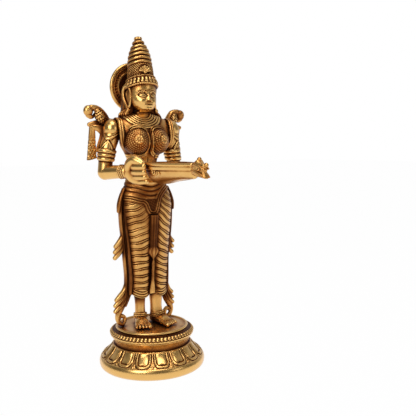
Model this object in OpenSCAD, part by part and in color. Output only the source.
// Figure lamp: a standing lady holds a leaf-shaped oil dish in front of her, on a lotus pedestal.
// Millimetres. The origin is the middle of the pedestal's underside, +Z is up, the figure looks along -Y
// and her right hand is on the -X side. Every height is taken from the piece that carries it.

/* [View] */
// Node to draw on its own, or all of them

/* [Pedestal] */
// Widest radius of the rim
base_r = 49;
// Height of the lotus base
base_h = 21.5;
// Thickness of the cast wall
base_wall = 4;
// Number of large petals around the lotus base
petals = 16;
// How far a large petal stands out of the slope
petal_relief = 0.6;
// Height of the plinth
plinth_h = 16;
// Widest radius of the plinth's petal ring
ring_r = 38.6;
// Radius of the plate the figure stands on
plate_r = 34.2;

/* [Lower body] */
// Plate to hem
ankle_h = 26;
// Hem to the waist joint
skirt_h = 106;
// Half the width over the hips
hip_w = 25;
// Half the depth over the hips
hip_d = 14;
// Middle of the hips behind the pedestal's axis
hip_y = 6;
// Ankle to the middle plane
ankle_x = 9.2;
// Radius of an ankle
ankle_r = 4.8;
// Length of a foot
foot_l = 27;
// How far each foot turns out
foot_turn = 13;
// How far the left foot stands before the right one
foot_lead = 4;
// Height of one fold of the skirt
fold_pitch = 6;
// Depth of the groove between two folds
fold_relief = 0.7;

/* [Sashes] */
// Depth of a side sash, front to back
sash_d = 6;
// Thickness of the front sash
front_sash_t = 2.4;
// Half the width of the front sash
front_sash_w = 3.6;
// Flare of the right sash, 1 as tabled
right_flare = 0.95;
// Flare of the left sash, 1 as tabled
left_flare = 0.7;

/* [Upper body] */
// Waist joint to neck joint
torso_h = 62;
// Half the width of the chest, where the arms begin
chest_w = 24;
// Half the depth of the chest
chest_d = 13.5;
// Middle of the chest behind the pedestal's axis
chest_y = 9.5;
// How far the breasts stand out
bust_h = 7;
// Neck joint to the crown's seat
head_h = 26;
// Half the width of the head
head_w = 12;
// Half the depth of the head
head_d = 13.4;
// Middle of the head behind the pedestal's axis
head_y = 12.6;

/* [Crown and halo] */
// Height of the crown
crown_h = 45;
// Radius of the crown's band
crown_r = 14.6;
// How far the crown leans back
crown_tilt = 6;
// Radius of the halo
halo_r = 23;
// Thickness of the halo's rim
halo_t = 3.4;
// Gap between the crown and the halo
halo_gap = 1.5;

/* [Arms] */
// Radius at the shoulder
shoulder_r = 7.8;
// Radius at the elbow
elbow_r = 6.4;
// Radius at the wrist
wrist_r = 4.9;
// Shoulder to elbow, straight down
upper_arm_h = 36;
// Elbow outside the shoulder
elbow_out = 8;
// Radius of a finger
finger_r = 2.5;

/* [Dish] */
// Length of the bowl
dish_l = 62;
// Half the width of the bowl
dish_w = 19.5;
// Depth of the bowl at the hands
dish_d = 17.5;
// Depth of the bowl at its tip
dish_tip_d = 12;
// Thickness of the bowl
dish_wall = 2;
// Height of the rim over the waist joint
dish_over_waist = 18.5;
// Back of the bowl before the pedestal's axis
dish_back = 14;
// Length of the finial
finial_l = 16.5;

/* [Shoulder birds] */
// Height of a bird over its perch
bird_h = 18;
// Reach of a bird outside the shoulder
bird_reach = 21;
// Length of the tail strip
tail_l = 31;

/* [Fixings] */
// Radius of a foot stud
stud_r = 2;
// Radius of a washer
washer_r = 5;
// Thickness of a washer
washer_t = 1;
// Nut across flats
nut_af = 7;
// Height of a nut
nut_h = 3.2;
// Radius of the dowels
dowel_r = 3;
// Radius of the halo's peg
peg_r = 1.8;

/* [Clearances] */
// Radial play of a nut on its stud
nut_play = 0.05;
// Radial play of a stud in the pedestal
stud_play = 0.3;
// Radial play of a dowel in its bore
dowel_play = 0.15;
// Film of braze between two castings
braze = 0.15;

/* [Hidden] */
plate_z = base_h + plinth_h;
hem_z = plate_z + ankle_h;
waist_z = hem_z + skirt_h;
neck_z = waist_z + torso_h;
seat_z = neck_z + head_h;
shoulder_z = waist_z + 0.74 * torso_h;
rim_z = waist_z + dish_over_waist;
wall_top_z = base_h - base_wall;
sides = 32;
round_fn = 20;
$fa = 6;
$fs = 0.4;

// Tables and lofts
function bell(x, w) = exp(-pow(x / w, 2));
function row_at(rows, t, k) =
    let (i = max([for (j = [0 : len(rows) - 2]) rows[j][0] <= t ? j : 0]),
         u = min(1, max(0, (t - rows[i][0]) / (rows[i + 1][0] - rows[i][0]))),
         s = u * u * (3 - 2 * u),
         m = 0.5 * u + 0.5 * s)
    rows[i][k] + (rows[i + 1][k] - rows[i][k]) * m;
function steps(n) = [for (i = [0 : n]) i / n];
function towards(a, b, t) = a + (b - a) * t;

// Closed solid through rings of points, each ring anticlockwise seen from the last ring
module loft(rings) {
    n = len(rings[0]);
    m = len(rings);
    points = [for (r = rings) each r];
    skin = [for (k = [0 : m - 2], i = [0 : n - 1])
        let (a = k * n + i, b = k * n + (i + 1) % n, c = b + n, d = a + n)
        each [[a, d, c], [a, c, b]]];
    bottom = [for (i = [1 : n - 2]) [0, i, i + 1]];
    top = [for (i = [1 : n - 2]) [(m - 1) * n, (m - 1) * n + i + 1, (m - 1) * n + i]];
    polyhedron(points, concat(skin, bottom, top));
}

// Chain of balls [x, y, z, r], each hulled to the next
module chain(balls, grow = 0) {
    for (i = [0 : len(balls) - 2])
        hull() {
            ball(balls[i], grow);
            ball(balls[i + 1], grow);
        }
}

module ball(b, grow = 0) {
    translate([b[0], b[1], b[2]])
        sphere(b[3] + grow, $fn = round_fn);
}

module bar(x, y, z0, z1, r) {
    translate([x, y, z0])
        cylinder(h = z1 - z0, r = r);
}

// Pedestal
function foot_y(side) = hip_y + 1 + (side > 0 ? -foot_lead : 0);

module stud_holes(r, z0, z1) {
    for (side = [-1, 1])
        bar(side * ankle_x, foot_y(side), z0, z1, r);
}

// Slope under the large petals, and a petal's outline: share of the slope's length, share of the half pitch
slope = [[base_r - 2.8, 11], [base_r - 5, 13.2], [base_r - 8, 16.2], [base_r - 10.7, 19.4], [base_r - 12.4, base_h]];
petal_rows = [[0.06, 0.32], [0.13, 0.56], [0.26, 0.69], [0.57, 0.68], [0.91, 0.62]];

module lotus_base() {
    color("goldenrod")
        difference() {
            union() {
                rotate_extrude($fn = 96)
                    polygon(concat([[0, wall_top_z], [base_r - 14.5, wall_top_z], [base_r - 11.5, wall_top_z - 3],
                        [base_r - 7, 11], [base_r - 4.6, 8], [base_r - 4.6, 0], [base_r - 1.6, 0],
                        [base_r - 0.5, 2], [base_r, 5], [base_r - 0.3, 8], [base_r - 1.6, 10.4]],
                        slope, [[0, base_h]]));
                for (k = [0 : petals - 1])
                    rotate([0, 0, 360 * (k + 0.19) / petals])
                        petal();
            }
            stud_holes(stud_r + stud_play, wall_top_z - 1, base_h + 1);
        }
}

// One large petal, tip down: a plate let into the slope
module petal() {
    fall = slope[0] - slope[len(slope) - 1];
    half = PI * base_r / petals;
    side = [for (p = petal_rows) [half * p[1], norm(fall) * p[0]]];
    translate([0, -slope[0][0], slope[0][1]])
        rotate([atan2(-fall[1], fall[0]), 0, 0])
            translate([0, 0, -1.5])
                linear_extrude(1.5 + petal_relief)
                    polygon(concat(side, [for (i = [len(side) - 1 : -1 : 0]) [-side[i][0], side[i][1]]]));
}

module plinth() {
    color("gold")
        difference() {
            translate([0, 0, base_h])
                rotate_extrude($fn = 96)
                    polygon([[0, plinth_h - 6], [ring_r - 12, plinth_h - 6], [ring_r - 10.5, plinth_h - 7.5],
                        [ring_r - 10.5, 0], [ring_r - 4.4, 0], [ring_r - 4.4, 1.6], [ring_r - 2.8, 2.2],
                        [ring_r - 2.8, 3.2], [ring_r - 1.2, 4.4], [ring_r - 0.3, 6.6], [ring_r, 9],
                        [ring_r - 0.6, 11], [ring_r - 2, 12.6], [ring_r - 3.4, 13.2], [ring_r - 5.4, 13.4],
                        [plate_r, 14], [plate_r + 0.4, 15], [plate_r - 0.4, plinth_h], [0, plinth_h]]);
            stud_holes(stud_r + stud_play, base_h, plate_z + 1);
        }
}

module foot_studs() {
    color("silver")
        stud_holes(stud_r, wall_top_z - washer_t - nut_h - 3, plate_z + 0.5 * ankle_h);
}

module foot_washers() {
    color("silver")
        difference() {
            stud_holes(washer_r, wall_top_z - washer_t, wall_top_z);
            stud_holes(stud_r + stud_play, wall_top_z - washer_t - 1, wall_top_z + 1);
        }
}

module nut(side) {
    translate([side * ankle_x, foot_y(side), wall_top_z - washer_t - nut_h])
        difference() {
            cylinder(h = nut_h, r = nut_af / sqrt(3), $fn = 6);
            translate([0, 0, -1])
                cylinder(h = nut_h + 2, r = stud_r + nut_play);
        }
}

module right_nut() {
    color("gainsboro")
        nut(-1);
}

module left_nut() {
    color("gainsboro")
        nut(1);
}

// Lower body: share of the skirt's height, half-width, half-depth, middle, crease between the legs
skirt_rows = [
    [0.00, 0.78, 0.72, 0.5, 0.42],
    [0.10, 0.79, 0.78, 0.5, 0.40],
    [0.25, 0.81, 0.85, 0.3, 0.36],
    [0.40, 0.84, 0.91, 0.1, 0.30],
    [0.55, 0.89, 0.97, 0.0, 0.22],
    [0.70, 0.96, 1.00, 0.0, 0.12],
    [0.80, 1.00, 1.00, 0.0, 0.04],
    [0.90, 0.94, 0.96, 1.0, 0.00],
    [1.00, 0.78, 0.87, 3.0, 0.00]];
function skirt_w(t) = hip_w * row_at(skirt_rows, t, 1);
function skirt_d(t) = hip_d * row_at(skirt_rows, t, 2);
function skirt_y(t) = hip_y + row_at(skirt_rows, t, 3);
function skirt_crease(t) = row_at(skirt_rows, t, 4);
function skirt_z(t) = hem_z + t * skirt_h;
function skirt_front(t, x) =
    skirt_y(t) - skirt_d(t) * sqrt(1 - pow(x / skirt_w(t), 2)) * (1 - skirt_crease(t) * bell(x, 0.2 * hip_w));
function ease(t, a, b) = let (u = min(1, max(0, (t - a) / (b - a)))) u * u * (3 - 2 * u);

// Ring of the skirt along a fold: it climbs towards the middle, and a groove leaves the sashes' seats plain
function fold_climb(t, a) =
    (1.2 + 9.5 * ease(t, 0.2, 0.8)) * ease(t, 0, 0.08) * (1 - ease(t, 0.84, 1)) * pow(1 - abs(cos(a)), 1.5) / skirt_h;
function groove_share(x, a) =
    (sin(a) < 0 ? ease(abs(x), 5.5, 7.5) : 1) * (1 - bell(sin(a) - 0.24, 0.3) * ease(abs(cos(a)), 0.6, 0.8));
function skirt_ring(level, groove) =
    [for (i = [0 : sides - 1])
        let (a = 360 * i / sides, t = level + fold_climb(level, a), x = skirt_w(t) * cos(a),
             y = skirt_d(t) * sin(a) * (1 - skirt_crease(t) * bell(x, 0.2 * hip_w)),
             cut = groove * groove_share(x, a))
        [x - cut * cos(a), skirt_y(t) + y - cut * sin(a), skirt_z(t)]];
folds = floor(0.76 * skirt_h / fold_pitch);
fold_share = fold_pitch / skirt_h;
skirt_levels = concat([[0, 0], [0.045, 0]],
    [for (k = [0 : folds - 1], row = [[0, 1], [0.2, 0], [0.8, 0]])
        [0.085 + fold_share * (k + row[0]), fold_relief * row[1]]],
    [for (u = steps(4)) [towards(0.085 + fold_share * folds, 1, u), u == 0 ? fold_relief : 0]]);

module foot(side) {
    translate([side * ankle_x, foot_y(side), plate_z]) {
        rotate([0, 0, side * foot_turn]) {
            hull() {
                linear_extrude(2.2)
                    sole();
                translate([0, 0, 7])
                    ball([0, 0.5, 0, ankle_r]);
                translate([0, -0.55 * foot_l, 3])
                    ball([0, 0, 0, 2.2]);
            }
            for (k = [-2 : 2])
                hull() {
                    toe(k, -0.60 * foot_l);
                    toe(k, -(0.74 - 0.03 * abs(k + side)) * foot_l);
                }
        }
        bar(0, 0.5, 5, ankle_h + 4, ankle_r);
    }
}

module toe(k, y) {
    translate([2.6 * k, y, 0])
        cylinder(h = 2.6, r1 = 1.4, r2 = 1, $fn = 12);
}

module sole() {
    hull() {
        translate([0, 0.2 * foot_l - 4.4])
            circle(4.4, $fn = 24);
        translate([0, 1 - 0.55 * foot_l])
            circle(6.6, $fn = 24);
    }
}

module lower_body() {
    color("darkgoldenrod")
        difference() {
            union() {
                loft([for (p = skirt_levels) skirt_ring(p[0], p[1])]);
                foot(-1);
                foot(1);
            }
            stud_holes(stud_r + dowel_play, plate_z - 1, plate_z + 0.5 * ankle_h + 0.2);
            bar(0, waist_y, waist_z - 12.2, waist_z + 1, dowel_r + dowel_play);
        }
}

// Sashes: share of the skirt's height and half-width of the front sash
front_rows = [[0.04, 0.35], [0.09, 1.45], [0.15, 0.75], [0.40, 0.85], [0.43, 1.25], [0.47, 0.8], [0.70, 0.9]];

module front_sash() {
    color("khaki")
        loft([for (s = steps(24))
            let (t = towards(0.04, 0.70, s), w = front_sash_w * row_at(front_rows, t, 1), h = front_sash_t / 2,
                 y = min([for (a = [0 : 10 : 90]) skirt_front(t, w * cos(a)) - h * sin(a)]) - 2.4 * braze)
            [for (i = [0 : 15])
                let (a = 360 * i / 16)
                [w * cos(a), y + h * sin(a), skirt_z(t)]]]);
}

// Outer edge of a side sash: height as a share of plate-to-waist, reach as a share of the hips
sash_edge = [[0.93, 1.05], [0.84, 1.17], [0.72, 1.12], [0.60, 1.10], [0.555, 1.13], [0.53, 1.21], [0.475, 1.32],
    [0.455, 1.27], [0.45, 1.08], [0.435, 0.98], [0.27, 0.96], [0.235, 1.01], [0.21, 1.18], [0.15, 1.26],
    [0.12, 1.24], [0.08, 1.20], [0.03, 1.16], [0.00, 1.14]];
sash_inside = [[0.00, 0.92], [0.04, 0.97], [0.09, 1.04], [0.14, 0.92], [0.20, 0.82]];
sash_y = hip_y + 3.5;
function sash_z(s) = plate_z + s * (waist_z - plate_z);
function inside_x(z) = skirt_w((z - hem_z) / skirt_h) + braze;

module side_sash(side, flare) {
    shares = [for (i = [0 : 24]) towards(0.23, 0.92, i / 24)];
    edge = concat(
        [for (p = sash_edge) [side * hip_w * (1 + flare * (p[1] - 1)), sash_z(p[0])]],
        [for (p = sash_inside) [side * hip_w * p[1], sash_z(p[0])]],
        [for (s = shares) [side * inside_x(sash_z(s)), sash_z(s)]]);
    translate([0, sash_y + sash_d / 2, 0])
        rotate([90, 0, 0])
            linear_extrude(sash_d)
                polygon(edge);
}

module right_sash() {
    color("khaki")
        side_sash(-1, right_flare);
}

module left_sash() {
    color("khaki")
        side_sash(1, left_flare);
}

// Torso: share of its height, half-width, half-depth, middle
waist_y = hip_y + 3;
torso_rows = [
    [0.00, 0.82, 0.90, -0.5],
    [0.12, 0.67, 0.83, 1.0],
    [0.29, 0.56, 0.76, 2.8],
    [0.42, 0.66, 0.82, 2.0],
    [0.55, 0.86, 0.94, 0.6],
    [0.68, 1.00, 1.00, 0.0],
    [0.78, 1.08, 0.92, 0.6],
    [0.87, 0.98, 0.74, 2.0],
    [0.93, 0.70, 0.63, 3.0],
    [1.00, 0.35, 0.57, 3.2]];
function torso_ring(t) =
    [for (i = [0 : sides - 1])
        let (a = 360 * i / sides,
             x = max(-chest_w, min(chest_w, chest_w * row_at(torso_rows, t, 1) * cos(a))),
             bust = bell(abs(x) - 0.53 * chest_w, 0.42 * chest_w) * bell(t - 0.61, 0.13) * max(0, -sin(a)),
             depth = chest_d * row_at(torso_rows, t, 2))
        [x, chest_y + row_at(torso_rows, t, 3) + depth * sin(a) - bust_h * bust, waist_z + t * torso_h]];

module torso() {
    color("goldenrod")
        difference() {
            loft([for (t = steps(24)) torso_ring(t)]);
            bar(0, waist_y, waist_z - 1, waist_z + 12.2, dowel_r + dowel_play);
            bar(0, head_y, neck_z - 12.2, neck_z + 1, dowel_r + dowel_play);
            shoulder_bar(dowel_r + dowel_play, 0.2);
        }
}

module waist_dowel() {
    color("silver")
        bar(0, waist_y, waist_z - 12, waist_z + 12, dowel_r);
}

// Head: share of its height, half-width, half-depth, middle
head_rows = [
    [0.00, 0.66, 0.55, 0.0],
    [0.10, 0.62, 0.56, -0.6],
    [0.18, 0.66, 0.70, -2.2],
    [0.26, 0.78, 0.86, -2.0],
    [0.42, 0.90, 0.94, -1.2],
    [0.65, 0.97, 0.99, -0.4],
    [1.00, 1.00, 1.00, 0.0]];
function head_ring(t) =
    [for (i = [0 : sides - 1])
        let (a = 360 * i / sides,
             y = head_y + row_at(head_rows, t, 3) + head_d * row_at(head_rows, t, 2) * sin(a))
        [head_w * row_at(head_rows, t, 1) * cos(a), y,
            neck_z + t * head_h - max(0, 2 * t - 1) * (y - head_y) * tan(crown_tilt)]];

module head() {
    color("gold")
        difference() {
            union() {
                loft([for (t = steps(16)) head_ring(t)]);
                for (side = [-1, 1])
                    scale([side, 1, 1])
                        ear_and_hair();
            }
            bar(0, head_y, neck_z - 1, neck_z + 8.2, dowel_r + dowel_play);
            halo_bar(peg_r + dowel_play, 0.2);
        }
}

// Right ear with its long lobe and pendant, and the hair that falls behind it
module ear_and_hair() {
    x = head_w;
    chain([[-x + 1, head_y, neck_z + 0.72 * head_h, 2.8], [-x - 0.4, head_y - 0.6, neck_z + 0.5 * head_h, 2.2],
        [-x - 1.4, head_y - 1, neck_z + 0.24 * head_h, 2.6]]);
    chain([[-x + 2, head_y + 6, neck_z + 0.7 * head_h, 4.2], [-x - 2, head_y + 6.5, neck_z + 0.5 * head_h, 4.4],
        [-x - 5.5, head_y + 5, neck_z + 0.18 * head_h, 3.4]]);
}

module neck_dowel() {
    color("silver")
        bar(0, head_y, neck_z - 12, neck_z + 8, dowel_r);
}

// Crown and halo
crown_rows = [[0.00, 0.96], [0.03, 1.00], [0.07, 1.00], [0.09, 0.95], [0.12, 0.95], [0.15, 0.98], [0.17, 0.96],
    [0.19, 0.83], [0.38, 0.81], [0.39, 0.74], [0.40, 0.79], [0.455, 0.77], [0.47, 0.69], [0.485, 0.745],
    [0.545, 0.72], [0.56, 0.63], [0.575, 0.69], [0.63, 0.66], [0.645, 0.56], [0.66, 0.61], [0.71, 0.57],
    [0.725, 0.45], [0.74, 0.50], [0.785, 0.46], [0.80, 0.31], [0.82, 0.35], [0.86, 0.37], [0.89, 0.31],
    [0.92, 0.22], [0.955, 0.24], [0.98, 0.17], [1.00, 0.04]];

module crown() {
    color("goldenrod")
        translate([0, head_y, seat_z])
            rotate([-crown_tilt, 0, 0])
                rotate_extrude($fn = 64)
                    polygon(concat([[0, 0]], [for (p = crown_rows) [crown_r * p[1], crown_h * p[0]]], [[0, crown_h]]));
}

halo_y = head_y + crown_r + halo_gap;
halo_z = seat_z - 0.5;
peg_z = neck_z + 0.62 * head_h;

module halo_bar(r, more) {
    translate([0, head_y + 0.45 * head_d - more, peg_z])
        rotate([-90, 0, 0])
            cylinder(h = halo_y + halo_t - head_y - 0.45 * head_d + more, r = r);
}

module halo_disc() {
    color("gold")
        difference() {
            translate([0, halo_y, halo_z])
                rotate([-90, 0, 0])
                    rotate_extrude($fn = 96)
                        polygon([[0, 0.8], [0.62 * halo_r, 0.8], [0.64 * halo_r, 0.2], [0.68 * halo_r, 0.8],
                            [0.84 * halo_r, 0.8], [0.87 * halo_r, 0.1], [0.92 * halo_r, 0], [0.97 * halo_r, 0.4],
                            [halo_r, halo_t / 2], [0.97 * halo_r, halo_t], [0, halo_t]]);
            halo_bar(peg_r + dowel_play, 1);
            translate([0, halo_y + halo_t, peg_z])
                rotate([-90, 0, 0])
                    cylinder(h = 2, r = peg_r + dowel_play);
        }
}

module halo_peg() {
    color("silver")
        halo_bar(peg_r, 0);
}

// Arms
shoulder_y = chest_y + 3;
function dish_half(y) =
    let (back = dish_l * 0.27, s = (-y - dish_back - back) / (dish_l - back))
    s < 0 ? dish_w * sqrt(max(0, 1 - s * s * pow((dish_l - back) / back, 2))) : dish_w * (1 - 0.76 * pow(s, 1.7));
hand_y = -dish_back - 0.23 * dish_l;
palm_x = dish_w + finger_r + braze;
elbow = [-(chest_w + 6.5 + elbow_out), shoulder_y - 1, shoulder_z - upper_arm_h];
wrist = [-(palm_x + 6.5), hand_y + 17, rim_z - 7.4];

module shoulder_bar(r, more) {
    translate([-(chest_w + 6 + more), shoulder_y, shoulder_z])
        rotate([0, 90, 0])
            cylinder(h = 12 + more, r = r);
    translate([chest_w - 6, shoulder_y, shoulder_z])
        rotate([0, 90, 0])
            cylinder(h = 12 + more, r = r);
}

module shoulder_dowels() {
    color("silver")
        shoulder_bar(dowel_r, 0);
}

// Right arm, from the flat joint at the chest to the fingers
module arm_form(grow = 0) {
    top = [-(chest_w + 6.5), shoulder_y, shoulder_z - 1];
    difference() {
        chain([[-(chest_w + 1), shoulder_y, shoulder_z, shoulder_r], [top[0], top[1], top[2], shoulder_r],
            concat(towards(top, elbow, 0.4), 0.92 * shoulder_r),
            concat(towards(top, elbow, 0.75), 1.02 * elbow_r),
            concat(elbow, elbow_r),
            concat(towards(elbow, wrist, 0.3), 0.97 * elbow_r),
            concat(towards(elbow, wrist, 0.7), 0.86 * elbow_r),
            concat(wrist, wrist_r)], grow);
        translate([-chest_w + grow, shoulder_y - 20, shoulder_z - 20])
            cube([40, 40, 40]);
    }
}

// Pitch of the fingers down the bowl, and height and offset of the thumb over the rim
right_grip = [4.7, 2.8, 0];
left_grip = [3.6, -1.6, 2.4];

module hand_form(grip) {
    heel = [-(palm_x + 4), hand_y + 9, rim_z - 6];
    chain([concat(wrist, wrist_r), concat(heel, 4.6)]);
    for (k = [0 : 3]) {
        low = rim_z - 3 - grip[0] * k;
        in = [0, 0, 1.6, 5.2][k] * grip[0] / right_grip[0];
        hull() {
            ball(concat(heel, 4.2));
            ball([-(palm_x - in), hand_y, low, 1.1 * finger_r]);
        }
        hull() {
            ball([-(palm_x - in), hand_y, low, 1.1 * finger_r]);
            ball([-(dish_half(hand_y - 11) + finger_r + braze - in), hand_y - 11, low, 0.9 * finger_r]);
        }
    }
    chain([concat(heel, 4), [-(palm_x + 1.5 + grip[2] / 2), hand_y + 3, rim_z + grip[1] - 0.8, 2.7],
        [-(dish_half(hand_y - 6) + 1 + grip[2]), hand_y - 6, rim_z + grip[1] + 0.4, 2.4],
        [-(dish_half(hand_y - 12) + grip[2]), hand_y - 12, rim_z + grip[1], 2]]);
}

module arm(grip) {
    difference() {
        union() {
            arm_form();
            hand_form(grip);
        }
        dish_solid(braze);
        shoulder_bar(dowel_r + dowel_play, 0.2);
    }
}

module right_arm() {
    color("darkgoldenrod")
        arm(right_grip);
}

module left_arm() {
    color("darkgoldenrod")
        mirror([1, 0, 0])
            arm(left_grip);
}

// Dish: outline shrunk towards the keel, level 0 at the keel and 1 at the rim
dish_sides = 40;
dish_mid = -dish_back - 0.36 * dish_l;
function outline(i) =
    let (u = i / (dish_sides / 2), v = u <= 1 ? u : 2 - u, y = -dish_back - dish_l * (0.5 - 0.5 * cos(180 * v)))
    [(u <= 1 ? -1 : 1) * dish_half(y), y];
function keel(y) = towards(dish_d, dish_tip_d, min(1, max(0, (-y - dish_back) / dish_l)));
function level_share(t) = pow(1 - pow(1 - t, 2.3), 1 / 2.3);
function dish_ring(t, inset, z_more) =
    let (s = towards(0.12, 1, level_share(t)))
    [for (i = [0 : dish_sides - 1])
        let (p = outline(i), q = norm(p - [0, dish_mid]), f = s * max(0.05, 1 - inset / q),
             x = p[0] * f, y = dish_mid + (p[1] - dish_mid) * f)
        [x, y, rim_z - keel(y) * (1 - t) + z_more * (1 - t)]];
levels = [0, 0.06, 0.14, 0.26, 0.42, 0.6, 0.8, 1];

module dish_solid(grow = 0) {
    loft(concat([for (t = levels) dish_ring(t, -grow, -grow)]));
}

module oil_dish() {
    color("gold")
        loft(concat(
            [for (t = levels) dish_ring(t, 0, 0)],
            [for (k = [len(levels) - 1 : -1 : 0]) dish_ring(levels[k], dish_wall, dish_wall)]));
}

module dish_finial() {
    tip_y = -dish_back - dish_l;
    low = rim_z - dish_tip_d;
    color("khaki") {
        translate([3.2, tip_y - braze, 0])
            rotate([90, 0, -90])
                linear_extrude(6.4)
                    polygon([[0, low + 1], [0, rim_z], [3.5, rim_z], [5, rim_z + 1.5], [7.5, rim_z + 1.5],
                        [9, rim_z - 0.5], [finial_l - 4, rim_z - 2.5], [finial_l - 1.5, rim_z - 1.5],
                        [finial_l - 1, rim_z - 3], [finial_l - 3, rim_z - 5], [finial_l - 2.2, rim_z - 7],
                        [finial_l, low + 1], [finial_l - 5, low + 2.5]]);
        ball([0, tip_y - 6.3, rim_z + 2.8, 2.2]);
        ball([0, tip_y - finial_l + 1, rim_z - 1, 2]);
    }
}

// Shoulder birds: right one, curled head looking outwards, perch and tail strip
bird_y = shoulder_y + 10;
module bird_form() {
    root = chest_w + 9;
    reach = bird_reach;
    base = shoulder_z + 6;
    chain([[-root + 1.4, bird_y - 1, base + 1.6, 4.6], [-root, bird_y, base + 0.37 * bird_h, 4.3],
        [-root - 0.13 * reach, bird_y, base + 0.64 * bird_h, 3.8],
        [-root - 0.42 * reach, bird_y, base + 0.87 * bird_h, 3.1],
        [-root - 0.64 * reach, bird_y, base + 0.87 * bird_h, 3.3],
        [-root - 0.78 * reach, bird_y, base + 0.74 * bird_h, 4.2],
        [-root - 0.72 * reach, bird_y, base + 0.48 * bird_h, 2]]);
    chain([[-root - 0.05 * reach, bird_y, base + 2, 4.8], [-root - 0.34 * reach, bird_y, base + 0.24 * bird_h, 3.6]]);
    chain([[-root + 3, bird_y - 1.5, base - 2, 2.4], [-root - 0.72 * reach, bird_y, base - 1, 2.2]]);
    translate([-root, bird_y + 2.2, base])
        rotate([90, 0, 0])
            linear_extrude(4.4)
                polygon([[-0.68 * reach, 1], [-0.8 * reach, -tail_l - 1], [-0.41 * reach, 0.5 - tail_l],
                    [-0.45 * reach, 1]]);
    chain([[-root + 4, bird_y - 1, base - 3, 4.6], [-root + 5, bird_y - 4, base - 5, 5]]);
}

module right_bird() {
    color("darkkhaki")
        difference() {
            bird_form();
            arm_form(braze);
            trunk_cut();
        }
}

module left_bird() {
    color("darkkhaki")
        mirror([1, 0, 0])
            difference() {
                bird_form();
                arm_form(braze);
                trunk_cut();
            }
}

module trunk_cut() {
    translate([-chest_w - braze, shoulder_y - 30, shoulder_z - 30])
        cube([60, 60, 60]);
}

lotus_base();
plinth();
foot_studs();
foot_washers();
right_nut();
left_nut();
lower_body();
front_sash();
right_sash();
left_sash();
torso();
waist_dowel();
head();
neck_dowel();
crown();
halo_disc();
halo_peg();
right_arm();
left_arm();
shoulder_dowels();
oil_dish();
dish_finial();
right_bird();
left_bird();
